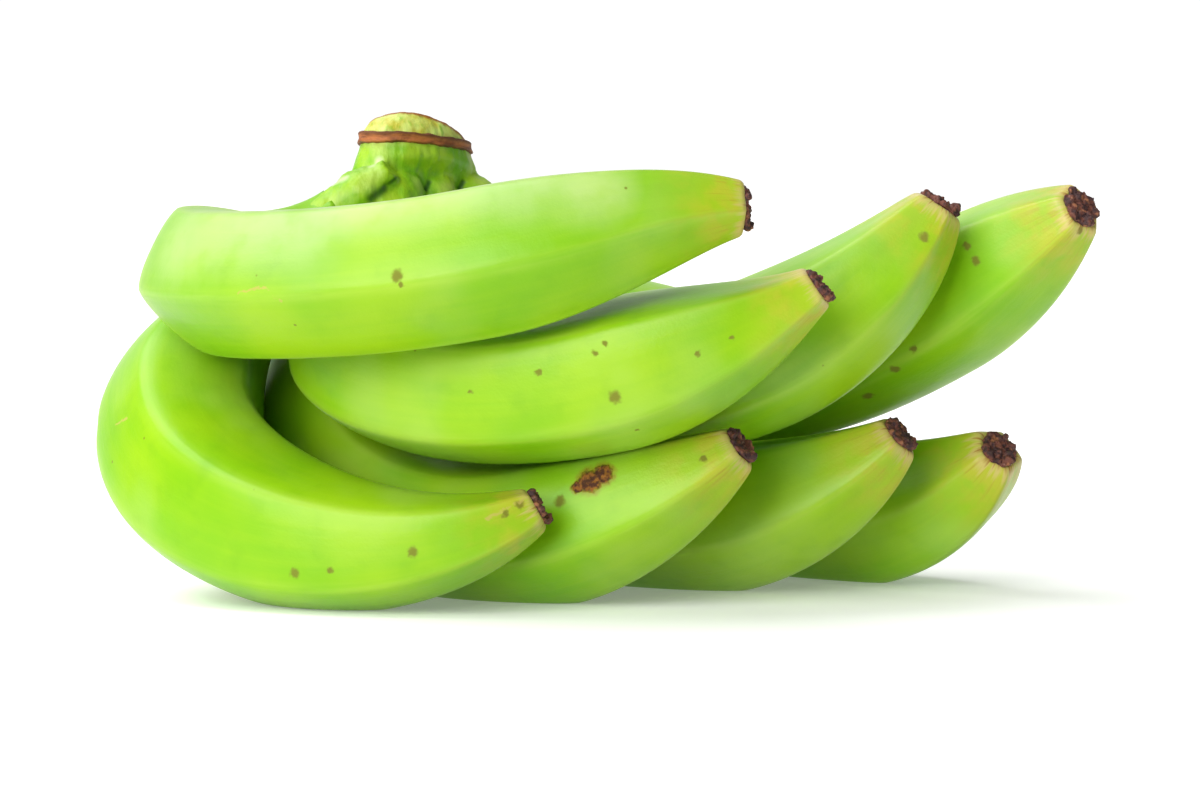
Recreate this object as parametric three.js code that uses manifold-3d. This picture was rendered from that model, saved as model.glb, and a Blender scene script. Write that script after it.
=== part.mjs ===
// A cut hand of green plantains, lying on the outer sides of its lower fingers.
//
// Eight curved fingers grow in two rows from one crown. Each finger is a ridged
// horn swept along its own bend, and ends in the dry remnant of its flower.
// Millimetres, +Z up. The origin is on the table under the middle of the hand.

import * as THREE from "three";
import Module from "manifold-3d";
import { mergeVertices } from "three/addons/utils/BufferGeometryUtils.js";

const wasm = await Module();
wasm.setup();

// Cross-section of a finger: five soft ridges with broad faces between them,
// which grow taller near the flower, between these distances from it
const RIDGES = 5;
const RIDGE_HEIGHT = 0.11;
const RIDGE_SHARE_OUTSIDE = 0.6;
const RIDGE_GROWTH = 0.45;
const RIDGE_GROWTH_START = 45;
const RIDGE_GROWTH_END = 8;
const SIDES = 20;

// Rings along a finger, set closer together towards both ends
const RINGS = 25;
const RING_CROWDING = 0.3;

// The stalk of a finger, and how far from the crown it stays a plain stalk
const STALK_RADIUS = 7;
const STALK_LENGTH = 14;
const CUT_FROM_CROWN = 19;
const GAP = 0.3;

// The dry flower end
const FLOWER_SIDES = 12;
const FLOWER_LENGTH = 3;
const FLOWER_WIDTH = 0.92;
const FLOWER_LUMPS = 0.12;

// The rounding of the last edge before the flower
const SHOULDER = 1.2;
const SHOULDER_INSET = 0.6;

// The table that flattens the fingers that lie on it, and the middle of the
// hand's footprint, which is moved to the origin
const TABLE = 0;
const FOOTPRINT_MIDDLE = new THREE.Vector3(-1.4, -1.2, 0);

// The row direction of the crown, seen from above
const ROW_ANGLE = THREE.MathUtils.degToRad(43.5);

// Crown: its middle at table height, and its sections from the stalks up. Each
// tilt is in degrees, with the side of the lower row down.
const CROWN_FOOT = new THREE.Vector3(-59, 50, 0);
const CROWN_LEAN = new THREE.Vector3(0.05, -0.04, 1);
const CROWN_PITCH = THREE.MathUtils.degToRad(7);
const CROWN_SIDES = 28;
const CROWN_SECTIONS = [
  { height: 98, long: 19, wide: 9, tilt: 36 },
  { height: 104, long: 25, wide: 14, tilt: 36 },
  { height: 111, long: 25.5, wide: 15.5, tilt: 32 },
  { height: 118, long: 21.5, wide: 14, tilt: 18 },
  { height: 124, long: 18.6, wide: 12.2, tilt: 6 },
  { height: 124.6, long: 19.6, wide: 13.2, tilt: 6 },
  { height: 127.8, long: 19.2, wide: 12.8, tilt: 4 },
  { height: 128.4, long: 18, wide: 11.8, tilt: 4 },
  { height: 131.5, long: 15.6, wide: 10.6, tilt: 0 },
  { height: 135.8, long: 9.4, wide: 6.6, tilt: 0 },
];

// The knife cut that parted the hand from its stem: it faces up and back
const CUT_POINT = new THREE.Vector3(-57, 37, 134);
const CUT_TILT = THREE.MathUtils.degToRad(42);
const CUT_HEADING = THREE.MathUtils.degToRad(5);
const CUT_BLOCK = 90;

// Each finger: handles that pull its middle line into shape, from the crown to
// the flower, its radius at the belly, the length of the neck at the flower end
// and how fast that neck draws in, its radius at the tip, the length over which
// the stalk swells, and the turn of its ridges.
const FINGERS = [
  {
    name: "upper_finger_1",
    handles: [
      [-65, 25, 114], [-91.4, 28.5, 90.5], [-123, 10.2, 90.1],
      [-138.5, -61.7, 82], [-71.4, -73.5, 99], [-45, -80.7, 76.3], [-2.9, -81.6, 110.3], [39, -76, 110],
    ],
    belly: 19.8, neck: 70, fullness: 1.0, tip: 7.0, swell: 62, turn: 95,
  },
  {
    name: "upper_finger_2",
    handles: [[-56, 34, 113], [-83, -22, 61], [-70, -41, 59], [-3, -67, 46], [59, -74, 89]],
    belly: 20.5, neck: 62, fullness: 1.1, tip: 5.9, swell: 62, turn: 123,
  },
  {
    name: "upper_finger_3",
    handles: [[-47, 43, 113], [-66, -1, 47], [46, -38, 37.5], [94, -38, 110]],
    belly: 21.1, neck: 69, fullness: 0.8, tip: 6.7, swell: 64, turn: 115,
  },
  {
    name: "upper_finger_4",
    handles: [[-38, 51, 112], [20, 25, 35], [64, 40, 53], [133, -38, 109]],
    belly: 20.7, neck: 58, fullness: 0.9, tip: 6.8, swell: 64, turn: 134,
  },
  {
    name: "lower_finger_1",
    handles: [
      [-73, 40, 103], [-132.5, 24, 59], [-136.5, -11, 35],
      [-101, -43, 12], [-53, -69, 8.5], [-16, -66, 29],
    ],
    belly: 23.4, neck: 120, fullness: 0.85, tip: 5.8, swell: 70, turn: 117,
  },
  {
    name: "lower_finger_2",
    handles: [[-64, 49, 102], [-108, 43, 47], [-54.5, -29, -20], [39, -57, 45]],
    belly: 20.4, neck: 64, fullness: 0.9, tip: 6.2, swell: 60, turn: 108,
  },
  {
    name: "lower_finger_3",
    handles: [[-55, 57, 102], [-79, 73, 26], [26, -5, -8], [84, -30, 46]],
    belly: 20.9, neck: 65, fullness: 0.9, tip: 6.5, swell: 63, turn: 110,
  },
  {
    name: "lower_finger_4",
    handles: [[-45, 66, 101], [-21, 107, 28], [81.5, 33, -6], [113, -15, 41]],
    belly: 20.4, neck: 60, fullness: 0.8, tip: 6.8, swell: 62, turn: 105,
  },
];

// Constants of a common linear congruential generator
const RANDOM_FACTOR = 1664525;
const RANDOM_STEP = 1013904223;
const RANDOM_RANGE = 2 ** 32;

const SKIN = { color: 0x9fcc3c, roughness: 0.42 };
const CROWN_SKIN = { color: 0xa9c455, roughness: 0.55 };
const DRY_FLOWER = { color: 0x4a2c22, roughness: 0.9 };

// A smooth curve that starts at the first handle, ends at the last, and is
// drawn towards those between them (a Bezier curve of any degree).
class HandleCurve extends THREE.Curve {
  constructor(handles) {
    super();
    this.handles = handles.map((xyz) => new THREE.Vector3(...xyz));
    this.arcLengthDivisions = 400;
  }

  getPoint(t, target = new THREE.Vector3()) {
    let points = this.handles;
    while (points.length > 1) {
      points = points.slice(1).map((next, i) => points[i].clone().lerp(next, t));
    }
    return target.copy(points[0]);
  }
}

// Radius of a finger at a distance from the crown: a thin stalk swells into the
// belly, which draws in to a short neck behind the flower.
function fingerRadius(finger, distance, length) {
  const swelling = THREE.MathUtils.smoothstep(distance - STALK_LENGTH, 0, finger.swell);
  const stalkEnd = STALK_RADIUS + (finger.belly - STALK_RADIUS) * swelling;
  const nearFlower = THREE.MathUtils.clamp((length - distance) / finger.neck, 0, 1);
  const drawIn = Math.sin(nearFlower * Math.PI / 2) ** finger.fullness;
  const flowerEnd = finger.tip + (finger.belly - finger.tip) * drawIn;
  return stalkEnd * flowerEnd / finger.belly;
}

// Share by which the skin stands out or in at an angle round the finger
function ridgeFactor(angle, toFlower) {
  const face = Math.abs(Math.sin(angle * RIDGES / 2));
  const grown = 1 - THREE.MathUtils.smoothstep(toFlower, RIDGE_GROWTH_END, RIDGE_GROWTH_START);
  return 1 + RIDGE_HEIGHT * (1 + RIDGE_GROWTH * grown) * (RIDGE_SHARE_OUTSIDE - face);
}

// Frames along a curve that don't twist, at distances from its start. The last
// frame has its normal pointing up, turned about the curve by the given angle.
function framesAlong(curve, distances, turn) {
  const length = curve.getLength();
  const frames = distances.map((distance) => {
    const u = THREE.MathUtils.clamp(distance / length, 0, 1);
    return { distance, point: curve.getPointAt(u), tangent: curve.getTangentAt(u) };
  });
  const last = frames.at(-1);
  let normal = new THREE.Vector3(0, 0, 1).projectOnPlane(last.tangent).normalize();
  normal.applyAxisAngle(last.tangent, turn);
  let ahead = last.tangent;
  for (const frame of frames.toReversed()) {
    const bend = new THREE.Quaternion().setFromUnitVectors(ahead, frame.tangent);
    normal = normal.clone().applyQuaternion(bend);
    frame.normal = normal;
    frame.side = frame.tangent.clone().cross(normal);
    ahead = frame.tangent;
  }
  return frames;
}

// One closed ring of points round a frame, with a radius for each angle
function ringAt(frame, sides, radiusAt) {
  return Array.from({ length: sides }, (_, i) => {
    const angle = 2 * Math.PI * i / sides;
    const radius = radiusAt(angle);
    return frame.point.clone()
      .addScaledVector(frame.normal, radius * Math.cos(angle))
      .addScaledVector(frame.side, radius * Math.sin(angle));
  });
}

// A closed solid through rings of points, with a fan of triangles at each end
function loft(rings) {
  const sides = rings[0].length;
  const centre = (ring) => ring.reduce((sum, p) => sum.add(p), new THREE.Vector3()).divideScalar(sides);
  const points = [...rings.flat(), centre(rings[0]), centre(rings.at(-1))];
  const startCentre = points.length - 2;
  const endCentre = points.length - 1;
  const lastRing = (rings.length - 1) * sides;
  const triangles = [];
  for (let i = 0; i < sides; i += 1) {
    const next = (i + 1) % sides;
    triangles.push(startCentre, next, i);
    triangles.push(endCentre, lastRing + i, lastRing + next);
    for (let ring = 0; ring < lastRing; ring += sides) {
      triangles.push(ring + i, ring + next, ring + sides + next);
      triangles.push(ring + i, ring + sides + next, ring + sides + i);
    }
  }
  const geometry = new THREE.BufferGeometry().setFromPoints(points);
  geometry.setIndex(triangles);
  return geometry;
}

// Distances of a finger's rings, from where it leaves the crown to its flower
function ringDistances(length) {
  const start = CUT_FROM_CROWN + GAP;
  const distances = [];
  for (let i = 0; i < RINGS; i += 1) {
    const step = i / (RINGS - 1);
    const crowded = step - RING_CROWDING * Math.sin(2 * Math.PI * step) / (2 * Math.PI);
    distances.push(start + (length - start - SHOULDER) * crowded);
  }
  return [...distances, length];
}

function fingerGeometry(finger) {
  const curve = new HandleCurve(finger.handles);
  const length = curve.getLength();
  const turn = THREE.MathUtils.degToRad(finger.turn);
  const frames = framesAlong(curve, ringDistances(length), turn);
  const rings = frames.map((frame) => {
    const inset = frame.distance === length ? SHOULDER_INSET : 0;
    const radius = fingerRadius(finger, frame.distance, length) - inset;
    const toFlower = length - frame.distance;
    return ringAt(frame, SIDES, (angle) => radius * ridgeFactor(angle, toFlower));
  });
  rings.flat().forEach((point) => {
    point.z = Math.max(point.z, TABLE);
  });
  return loft(rings);
}

// A dry, lumpy knob at the end of a finger, with a nub of the old flower
function flowerGeometry(finger, random) {
  const curve = new HandleCurve(finger.handles);
  const length = curve.getLength();
  const end = framesAlong(curve, [length], 0)[0];
  const profile = [
    { along: GAP, share: 0.8 },
    { along: 0.3 * FLOWER_LENGTH, share: 1 },
    { along: 0.75 * FLOWER_LENGTH, share: 0.85 },
    { along: FLOWER_LENGTH, share: 0.42 },
  ];
  const rings = profile.map(({ along, share }) => {
    const point = end.point.clone().addScaledVector(end.tangent, along);
    const radius = finger.tip * FLOWER_WIDTH * share;
    const lumpy = () => radius * (1 + FLOWER_LUMPS * (2 * random() - 1));
    return ringAt({ ...end, point }, FLOWER_SIDES, lumpy);
  });
  return loft(rings);
}

// The part of a finger's stalk that is grown together with the crown
function stalkGeometry(finger) {
  const curve = new HandleCurve(finger.handles);
  const inside = framesAlong(curve, [0], 0)[0];
  inside.point.addScaledVector(inside.tangent, -STALK_RADIUS);
  const frames = framesAlong(curve, [0, CUT_FROM_CROWN / 2, CUT_FROM_CROWN], 0);
  const rings = [inside, ...frames].map((frame) => ringAt(frame, SIDES, () => STALK_RADIUS));
  return loft(rings);
}

// The body of the crown, with the raised scar of the bract round it
function crownBodyGeometry() {
  const along = new THREE.Vector3(Math.cos(ROW_ANGLE), Math.sin(ROW_ANGLE), -Math.tan(CROWN_PITCH));
  along.normalize();
  const rings = CROWN_SECTIONS.map(({ height, long, wide, tilt }) => {
    const middle = CROWN_FOOT.clone().addScaledVector(CROWN_LEAN, height);
    const across = new THREE.Vector3(-Math.sin(ROW_ANGLE), Math.cos(ROW_ANGLE), 0);
    across.applyAxisAngle(along, THREE.MathUtils.degToRad(-tilt));
    return Array.from({ length: CROWN_SIDES }, (_, i) => {
      const angle = 2 * Math.PI * i / CROWN_SIDES;
      return middle.clone()
        .addScaledVector(along, long * Math.cos(angle))
        .addScaledVector(across, wide * Math.sin(angle));
    });
  });
  return loft(rings);
}

// The waste block behind the knife cut
function cutBlockGeometry() {
  const block = new THREE.BoxGeometry(CUT_BLOCK, CUT_BLOCK, CUT_BLOCK);
  block.translate(0, 0, CUT_BLOCK / 2);
  block.rotateX(-CUT_TILT);
  block.rotateZ(CUT_HEADING);
  block.translate(...CUT_POINT);
  return block;
}

function toSolid(geometry) {
  const bare = geometry.clone();
  bare.deleteAttribute("normal");
  bare.deleteAttribute("uv");
  const merged = mergeVertices(bare);
  return new wasm.Manifold(new wasm.Mesh({
    numProp: 3,
    vertProperties: merged.attributes.position.array,
    triVerts: new Uint32Array(merged.index.array),
  }));
}

function toGeometry(solid) {
  const { vertProperties, triVerts } = solid.getMesh();
  const geometry = new THREE.BufferGeometry();
  geometry.setAttribute("position", new THREE.BufferAttribute(vertProperties, 3));
  geometry.setIndex(new THREE.BufferAttribute(triVerts, 1));
  return geometry;
}

function crownGeometry() {
  let crown = toSolid(crownBodyGeometry());
  for (const finger of FINGERS) {
    crown = crown.add(toSolid(stalkGeometry(finger)));
  }
  return toGeometry(crown.subtract(toSolid(cutBlockGeometry())));
}

// A repeatable source of random shares between 0 and 1
function seededRandom(seed) {
  let state = seed;
  return () => {
    state = (state * RANDOM_FACTOR + RANDOM_STEP) % RANDOM_RANGE;
    return state / RANDOM_RANGE;
  };
}

function namedMesh(name, geometry, { color, roughness }) {
  geometry.computeVertexNormals();
  const material = new THREE.MeshStandardMaterial({ color, roughness, metalness: 0, flatShading: true });
  const mesh = new THREE.Mesh(geometry, material);
  mesh.name = name;
  return mesh;
}

const hand = new THREE.Group();
hand.position.copy(FOOTPRINT_MIDDLE).negate();
hand.add(namedMesh("crown", crownGeometry(), CROWN_SKIN));
FINGERS.forEach((finger, index) => {
  hand.add(namedMesh(finger.name, fingerGeometry(finger), SKIN));
  const random = seededRandom(index + 1);
  hand.add(namedMesh(`${finger.name}_flower_end`, flowerGeometry(finger, random), DRY_FLOWER));
});

export default hand;
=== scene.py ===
# Looks of a cut hand of green plantains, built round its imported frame.
# Shapes are worked out in millimetres, as the hand was measured, and made in metres.
import math
import random

import bmesh
import bpy
import numpy as np
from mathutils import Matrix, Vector, noise
from mathutils.bvhtree import BVHTree


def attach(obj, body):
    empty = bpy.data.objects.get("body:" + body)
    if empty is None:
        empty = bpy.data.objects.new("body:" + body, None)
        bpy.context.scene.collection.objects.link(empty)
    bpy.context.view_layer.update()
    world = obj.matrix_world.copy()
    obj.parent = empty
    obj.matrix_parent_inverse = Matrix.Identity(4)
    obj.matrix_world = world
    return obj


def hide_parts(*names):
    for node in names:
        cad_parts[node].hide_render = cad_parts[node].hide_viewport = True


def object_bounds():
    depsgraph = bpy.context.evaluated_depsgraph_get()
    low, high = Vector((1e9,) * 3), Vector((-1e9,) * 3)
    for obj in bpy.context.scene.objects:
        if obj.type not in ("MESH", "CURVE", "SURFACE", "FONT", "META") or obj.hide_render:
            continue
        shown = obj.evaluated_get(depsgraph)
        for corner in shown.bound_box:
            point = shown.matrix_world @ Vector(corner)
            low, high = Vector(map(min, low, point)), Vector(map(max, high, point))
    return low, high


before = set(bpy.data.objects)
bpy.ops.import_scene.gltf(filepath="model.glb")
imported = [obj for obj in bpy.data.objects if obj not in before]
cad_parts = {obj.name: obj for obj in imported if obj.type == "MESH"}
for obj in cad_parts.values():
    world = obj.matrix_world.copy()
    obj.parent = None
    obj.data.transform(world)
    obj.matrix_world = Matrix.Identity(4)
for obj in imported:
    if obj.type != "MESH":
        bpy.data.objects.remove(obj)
cad_low, cad_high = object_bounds()

MM = 0.001
BODY = "root"
UP = np.array([0.0, 0.0, 1.0])

# Middle of the hand's footprint in the measures below, which lies at the origin
FOOTPRINT_MIDDLE = np.array([-1.4, -1.2, 0.0])

# Camera: what it looks at, from how far and how high, its lens, and how far it
# sees in metres
CAMERA_AIM = (2.6, -41.8, 56.7)
CAMERA_DISTANCE = 1200.0
CAMERA_ELEVATION = math.radians(3.6)
CAMERA_LENS = 131.4
SENSOR_WIDTH = 36.0
CAMERA_REACH = 20.0
PHOTO_SIZE = (1200, 800)
FOCAL_PIXELS = CAMERA_LENS / SENSOR_WIDTH * PHOTO_SIZE[0]

# Studio: each sun's name, direction, width in degrees and strength. The world is
# bright behind the hand, so that the ground fades into white, and dim in front.
SUNS = [
    ("top_light", (0.55, -0.1, -1.0), 50, 2.6),
    ("key_light", (0.6, 0.9, -0.5), 45, 3.3),
]
WORLD_RAMP = {"From Min": 0.4, "From Max": 0.95, "To Min": 0.16, "To Max": 1.05}
FLOOR_REACH = 6000.0

# Ridges of a finger: their height as a share of its radius, how much of that is
# outside the mean radius, how round they are, how much they grow near the flower
# and between which distances from it, and how far they wander
RIDGES = 5
RIDGE_HEIGHT = 0.125
RIDGE_SHARE_OUTSIDE = 0.6
RIDGE_ROUNDING = 0.06
RIDGE_GROWTH = 0.45
RIDGE_GROWTH_START = 45.0
RIDGE_GROWTH_END = 8.0
RIDGE_WANDER = math.radians(0.5)
RIDGE_WANDER_LENGTH = 55.0

# Rings of a finger's skin, and how much they crowd toward the flower
FINGER_SIDES = 100
FINGER_RINGS = 150
RING_CROWDING = 0.25

# Blunt end of a finger: its length, its rings, how much it draws in, and the rings
# of its dished face by their share of the radius and their step back
BLUNT_LENGTH = 1.5
BLUNT_RINGS = 7
BLUNT_SHRINK = 0.16
DISH_SHARES = [0.72, 0.55, 0.35, 0.12]
DISH_STEP = 0.25

# Height over which the skin bends flat where it lies on the table
TABLE_BLEND = 0.45

# Coordinates for the fibres of the skin: round the finger, along it, and how far
# apart they are on two fingers
GRAIN_AROUND = 20.0
GRAIN_ALONG = 0.07
GRAIN_APART = 300.0

# The stalk of a finger, and where its own skin starts inside the crown's stalk
STALK_RADIUS = 7.0
STALK_LENGTH = 14.0
SKIN_START = 12.0

# The crown's part of a stalk: its thin root, its collar, and its end that dips
# under the finger's skin, by distance from the start of the middle line
STALK_START = -8.0
STALK_END = 22.5
STALK_RINGS = 26
STALK_SIDES = 40
ROOT_SHARE = 0.4
ROOT_END = 4.0
COLLAR_HEIGHT = 1.0
COLLAR_FULL = -2.0
COLLAR_END = 17.0
DIP_DEPTH = 0.85
DIP_START = 14.0

# Each finger: its radius at the belly, the length of the neck at the flower end
# and how fast that neck draws in, its radius at the tip, the length over which
# the stalk swells, the turn of its ridges, and handles that pull its middle line
# into shape, from the crown to the flower
FINGERS = [
    dict(name="upper_finger_1", belly=19.8, neck=70, fullness=1.0, tip=7.0, swell=62, turn=95,
         handles=[(-65, 25, 114), (-91.4, 28.5, 90.5), (-123, 10.2, 90.1), (-138.5, -61.7, 82),
                  (-71.4, -73.5, 99), (-45, -80.7, 76.3), (-2.9, -81.6, 110.3), (39, -76, 110)]),
    dict(name="upper_finger_2", belly=20.5, neck=62, fullness=1.1, tip=5.9, swell=62, turn=123,
         handles=[(-56, 34, 113), (-83, -22, 61), (-70, -41, 59), (-3, -67, 46), (59, -74, 89)]),
    dict(name="upper_finger_3", belly=21.1, neck=69, fullness=0.8, tip=6.7, swell=64, turn=115,
         handles=[(-47, 43, 113), (-66, -1, 47), (46, -38, 37.5), (94, -38, 110)]),
    dict(name="upper_finger_4", belly=20.7, neck=58, fullness=0.9, tip=6.8, swell=64, turn=134,
         handles=[(-38, 51, 112), (20, 25, 35), (64, 40, 53), (133, -38, 109)]),
    dict(name="lower_finger_1", belly=23.4, neck=120, fullness=0.85, tip=5.8, swell=69, turn=117,
         handles=[(-73, 40, 103), (-132.5, 24, 59), (-136.5, -11, 35),
                  (-101, -43, 12), (-53, -69, 8.5), (-16, -66, 29)]),
    dict(name="lower_finger_2", belly=20.4, neck=64, fullness=0.9, tip=6.2, swell=59, turn=108,
         handles=[(-64, 49, 102), (-108, 43, 47), (-54.5, -29, -20), (39, -57, 45)]),
    dict(name="lower_finger_3", belly=20.9, neck=65, fullness=0.9, tip=6.5, swell=63, turn=110,
         handles=[(-55, 57, 102), (-79, 73, 26), (26, -5, -8), (84, -30, 46)]),
    dict(name="lower_finger_4", belly=20.4, neck=60, fullness=0.8, tip=6.8, swell=62, turn=105,
         handles=[(-45, 66, 101), (-21, 107, 28), (81.5, 33, -6), (113, -15, 41)]),
]

# Dry flower end: its width as a share of the finger's tip, its core, its clumps,
# the nub of the style on its lower side, and the roughness of its crust
FLOWER_WIDTH = 0.92
CORE_WIDTH = 0.88
CORE_THICKNESS = 1.1
CORE_HEIGHT = 0.3
RIM_CLUMPS = 22
INNER_CLUMPS = 4
INNER_CLUMP_NARROW = 0.7
NUB_RADII = (1.7, 1.5, 1.7)
NUB_REACH = 0.74
NUB_HEIGHT = 1.3
FLOWER_VOXEL = 0.3
CRUST_GRAIN = 1.6
CRUST_ALONG = 0.35
CRUST_OUTWARD = 0.45

# Crown: the row direction, its middle at table height, and its sections
ROW_ANGLE = math.radians(43.5)
CROWN_PITCH = math.radians(7.0)
CROWN_FOOT = np.array([-59.0, 50.0, 0.0])
CROWN_LEAN = np.array([0.05, -0.04, 1.0])
CROWN_SECTIONS = [
    dict(height=98, long=19, wide=9, tilt=36),
    dict(height=104, long=25, wide=14, tilt=36),
    dict(height=111, long=25.5, wide=15.5, tilt=32),
    dict(height=118, long=21.5, wide=14, tilt=18),
    dict(height=124, long=18.6, wide=12.2, tilt=6),
    dict(height=128.4, long=18, wide=11.8, tilt=4),
    dict(height=131.5, long=15.6, wide=10.6, tilt=0),
    dict(height=135.8, long=9.4, wide=6.6, tilt=0),
]
CROWN_SIDES = 72
CROWN_VOXEL = 0.7
CROWN_SMOOTHING = 9

# Lumps of the crown's skin, which are drawn out along its height
LUMP_SIZE = 3.3
LUMP_DEPTH = 0.35
LUMP_STRETCH = np.array([1.0, 1.0, 0.2])

# How much leaner the core of the crown is between the stalks, below this height
CORE_INSET = 2.2
CORE_INSET_BELOW = 115.0

# The knife cut that parted the hand from its stem: it faces up and back
CUT_POINT = np.array([-57.0, 37.0, 134.0])
CUT_TILT = math.radians(42.0)
CUT_HEADING = math.radians(5.0)

# The cut face: its rings, how near they come to its middle, how deep it is hollow,
# how deep it is torn and how coarsely, and the shares by which both are in full
CUT_RINGS = 26
CUT_LAST_RING = 0.97
HOLLOW_DEPTH = 0.9
HOLLOW_FULL = 1 / 3
TORN_DEPTH = 0.35
TORN_SIZE = 2.0
TORN_FULL = 1 / 6

# The scar band: its foot and its top edge, and its outline as shares of its height
# with millimetres outward. Its edges wave, and its foot is rougher than its top.
SCAR_LOW = dict(height=124.5, long=19.6, wide=13.2, tilt=6)
SCAR_HIGH = dict(height=127.9, long=19.2, wide=12.8, tilt=4)
SCAR_PROFILE = [
    (-0.1, -2.6), (-0.03, -0.6), (0.03, 0.1), (0.12, 0.45), (0.25, 0.38), (0.4, 0.2), (0.55, 0.22),
    (0.7, 0.4), (0.85, 0.62), (0.95, 0.5), (1.0, 0.0), (1.04, -0.8), (1.1, -2.6),
]
SCAR_SIDES = 240
SCAR_SINK = 0.5
SCAR_WAVE_SIZE = 7.0
SCAR_WAVE = 0.5
SCAR_GRIT_SIZE = 2.2
SCAR_GRIT = 0.16
SCAR_FOOT_BELOW = 0.3
SCAR_TOP_GRIT = 0.5
SCAR_OUTWARD = 0.3

# How deep a fold in the crown is as a share of its radius, and how far it reaches
CREASE_DEPTH = 0.5
CREASE_REACH = 2.2

# How fast the layers of fractal noise fade, and how much finer each is
FRACTAL_FADE = 0.9
FRACTAL_FINER = 2.0


def spot(x, y, radius):
    """A round mark, by its pixel in the photograph and its radius in pixels."""
    return dict(pixels=[(x, y)], radius=radius)


def stroke(start, stop, radius):
    """A mark from one pixel of the photograph to another, with its radius in pixels."""
    return dict(pixels=[start, stop], radius=radius)


# Marks on the skin
SPOTS = [
    spot(397, 276, 6.0), spot(401, 285, 3.0), spot(295, 573, 5.0), spot(330, 570, 3.5),
    spot(413, 552, 5.0), spot(615, 397, 6.0), spot(595, 353, 3.0), spot(606, 344, 2.5),
    spot(698, 354, 2.5), spot(731, 338, 2.5), spot(538, 373, 3.0), spot(470, 392, 2.5),
    spot(924, 237, 5.0), spot(976, 261, 5.0), spot(967, 246, 4.0), spot(895, 369, 5.0),
    spot(868, 396, 6.0), spot(913, 349, 4.0), spot(1080, 231, 4.0), spot(560, 501, 5.5),
    spot(704, 459, 3.5), spot(637, 430, 2.5), spot(520, 505, 4.5), spot(505, 514, 3.5),
]
SCABS = [spot(590, 481, 11.0), spot(603, 474, 9.5), spot(578, 487, 6.0)]
SCRATCHES = [
    stroke((237, 293), (250, 290), 1.3),
    stroke((250, 290), (263, 287), 1.2),
    stroke((263, 287), (281, 301), 1.2),
    stroke((116, 425), (127, 418), 1.2),
    stroke((488, 518), (528, 498), 2.0),
]
SCAB_HALO = 1.35

# Soft pale patches on the skin, which are painted sheen on the sides that the light falls on, and
# pale bloom on the crown
PAINTED_SHEEN_STROKES = [
    stroke((185, 240), (300, 225), 44),
    stroke((300, 222), (600, 190), 30),
    stroke((120, 390), (85, 480), 42),
    stroke((105, 500), (200, 560), 40),
]
CROWN_BLOOMS = [stroke((372, 166), (379, 160), 4), stroke((335, 184), (345, 178), 4)]

# Folds and nicks in the crown where the stalks part, pressed in and painted with shade
CREASES = [
    stroke((396, 179), (388, 186), 2.5),
    stroke((386, 188), (372, 199), 4.5),
    stroke((429, 182), (426, 189), 2.6),
    stroke((463, 182), (460, 188), 2.6),
]


# Curves and frames

def bezier(handles, t):
    points = [np.broadcast_to(h, (len(t), 3)) for h in np.asarray(handles, float)]
    while len(points) > 1:
        points = [a + (b - a) * t[:, None] for a, b in zip(points, points[1:])]
    return points[0]


def unit(vectors):
    return vectors / np.linalg.norm(vectors, axis=-1, keepdims=True)


class MiddleLine:
    """The middle line of a finger, by distance from the crown. It runs on past its ends."""

    SAMPLES = 2001

    def __init__(self, handles):
        self.handles = np.asarray(handles, float) - FOOTPRINT_MIDDLE
        self.t = np.linspace(0, 1, self.SAMPLES)
        points = bezier(self.handles, self.t)
        steps = np.linalg.norm(np.diff(points, axis=0), axis=1)
        self.distances = np.concatenate([[0], np.cumsum(steps)])
        self.length = self.distances[-1]

    def at(self, distances):
        """The points at these distances, and the directions of the line there."""
        distances = np.asarray(distances, float)
        t = np.interp(distances, self.distances, self.t)
        tangents = unit(bezier(np.diff(self.handles, axis=0), t))
        beyond = distances - np.clip(distances, 0, self.length)
        return bezier(self.handles, t) + tangents * beyond[:, None], tangents


def rotate(vector, axis, angle):
    turned = vector * math.cos(angle) + np.cross(axis, vector) * math.sin(angle)
    return turned + axis * axis.dot(vector) * (1 - math.cos(angle))


def untwisted_normals(tangents, turn):
    """Normals that don't twist along a curve. The last one points up, turned about the curve."""
    last = tangents[-1]
    normal = rotate(unit(UP - last * UP.dot(last)), last, turn)
    normals = []
    ahead = last
    for tangent in tangents[::-1]:
        axis = np.cross(ahead, tangent)
        size = np.linalg.norm(axis)
        if size > 1e-12:
            normal = rotate(normal, axis / size, math.atan2(size, ahead.dot(tangent)))
        normals.append(normal)
        ahead = tangent
    return np.array(normals[::-1])


def full_circle(count):
    return np.linspace(0, 2 * math.pi, count, endpoint=False)


def round_rings(points, normals, sides, reach, angles):
    """Rings round the points of a curve, each with its own reach or reaches."""
    rings = []
    for point, normal, side, far in zip(points, normals, sides, reach):
        ring = point + normal * (far * np.cos(angles))[:, None]
        rings.append(ring + side * (far * np.sin(angles))[:, None])
    return rings


def smoothstep(values, low, high):
    share = np.clip((values - low) / (high - low), 0, 1)
    return share * share * (3 - 2 * share)


def wave_noise(values, seed, scale):
    """Smooth random numbers from -1 to 1 along a row of values."""
    row = seed * 7.31
    return np.array([noise.noise(Vector((value / scale, row, 0.5))) for value in values])


def fractal_noise(points, size, detail):
    """Rough noise round 0 at each point, with lumps of about size millimetres."""
    return np.array([
        noise.fractal(Vector(point), FRACTAL_FADE, FRACTAL_FINER, detail)
        for point in (points / size).tolist()
    ])


def inside_box(points):
    """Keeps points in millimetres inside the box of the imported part."""
    return np.clip(points, np.array(cad_low) / MM, np.array(cad_high) / MM)


# Meshes

def tube_faces(rings, sides):
    """Quads between closed rings of points, facing out."""
    faces = []
    for ring in range(rings - 1):
        for side in range(sides):
            ahead = (side + 1) % sides
            base = ring * sides
            faces.append((base + side, base + ahead, base + sides + ahead, base + sides + side))
    return faces


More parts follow.
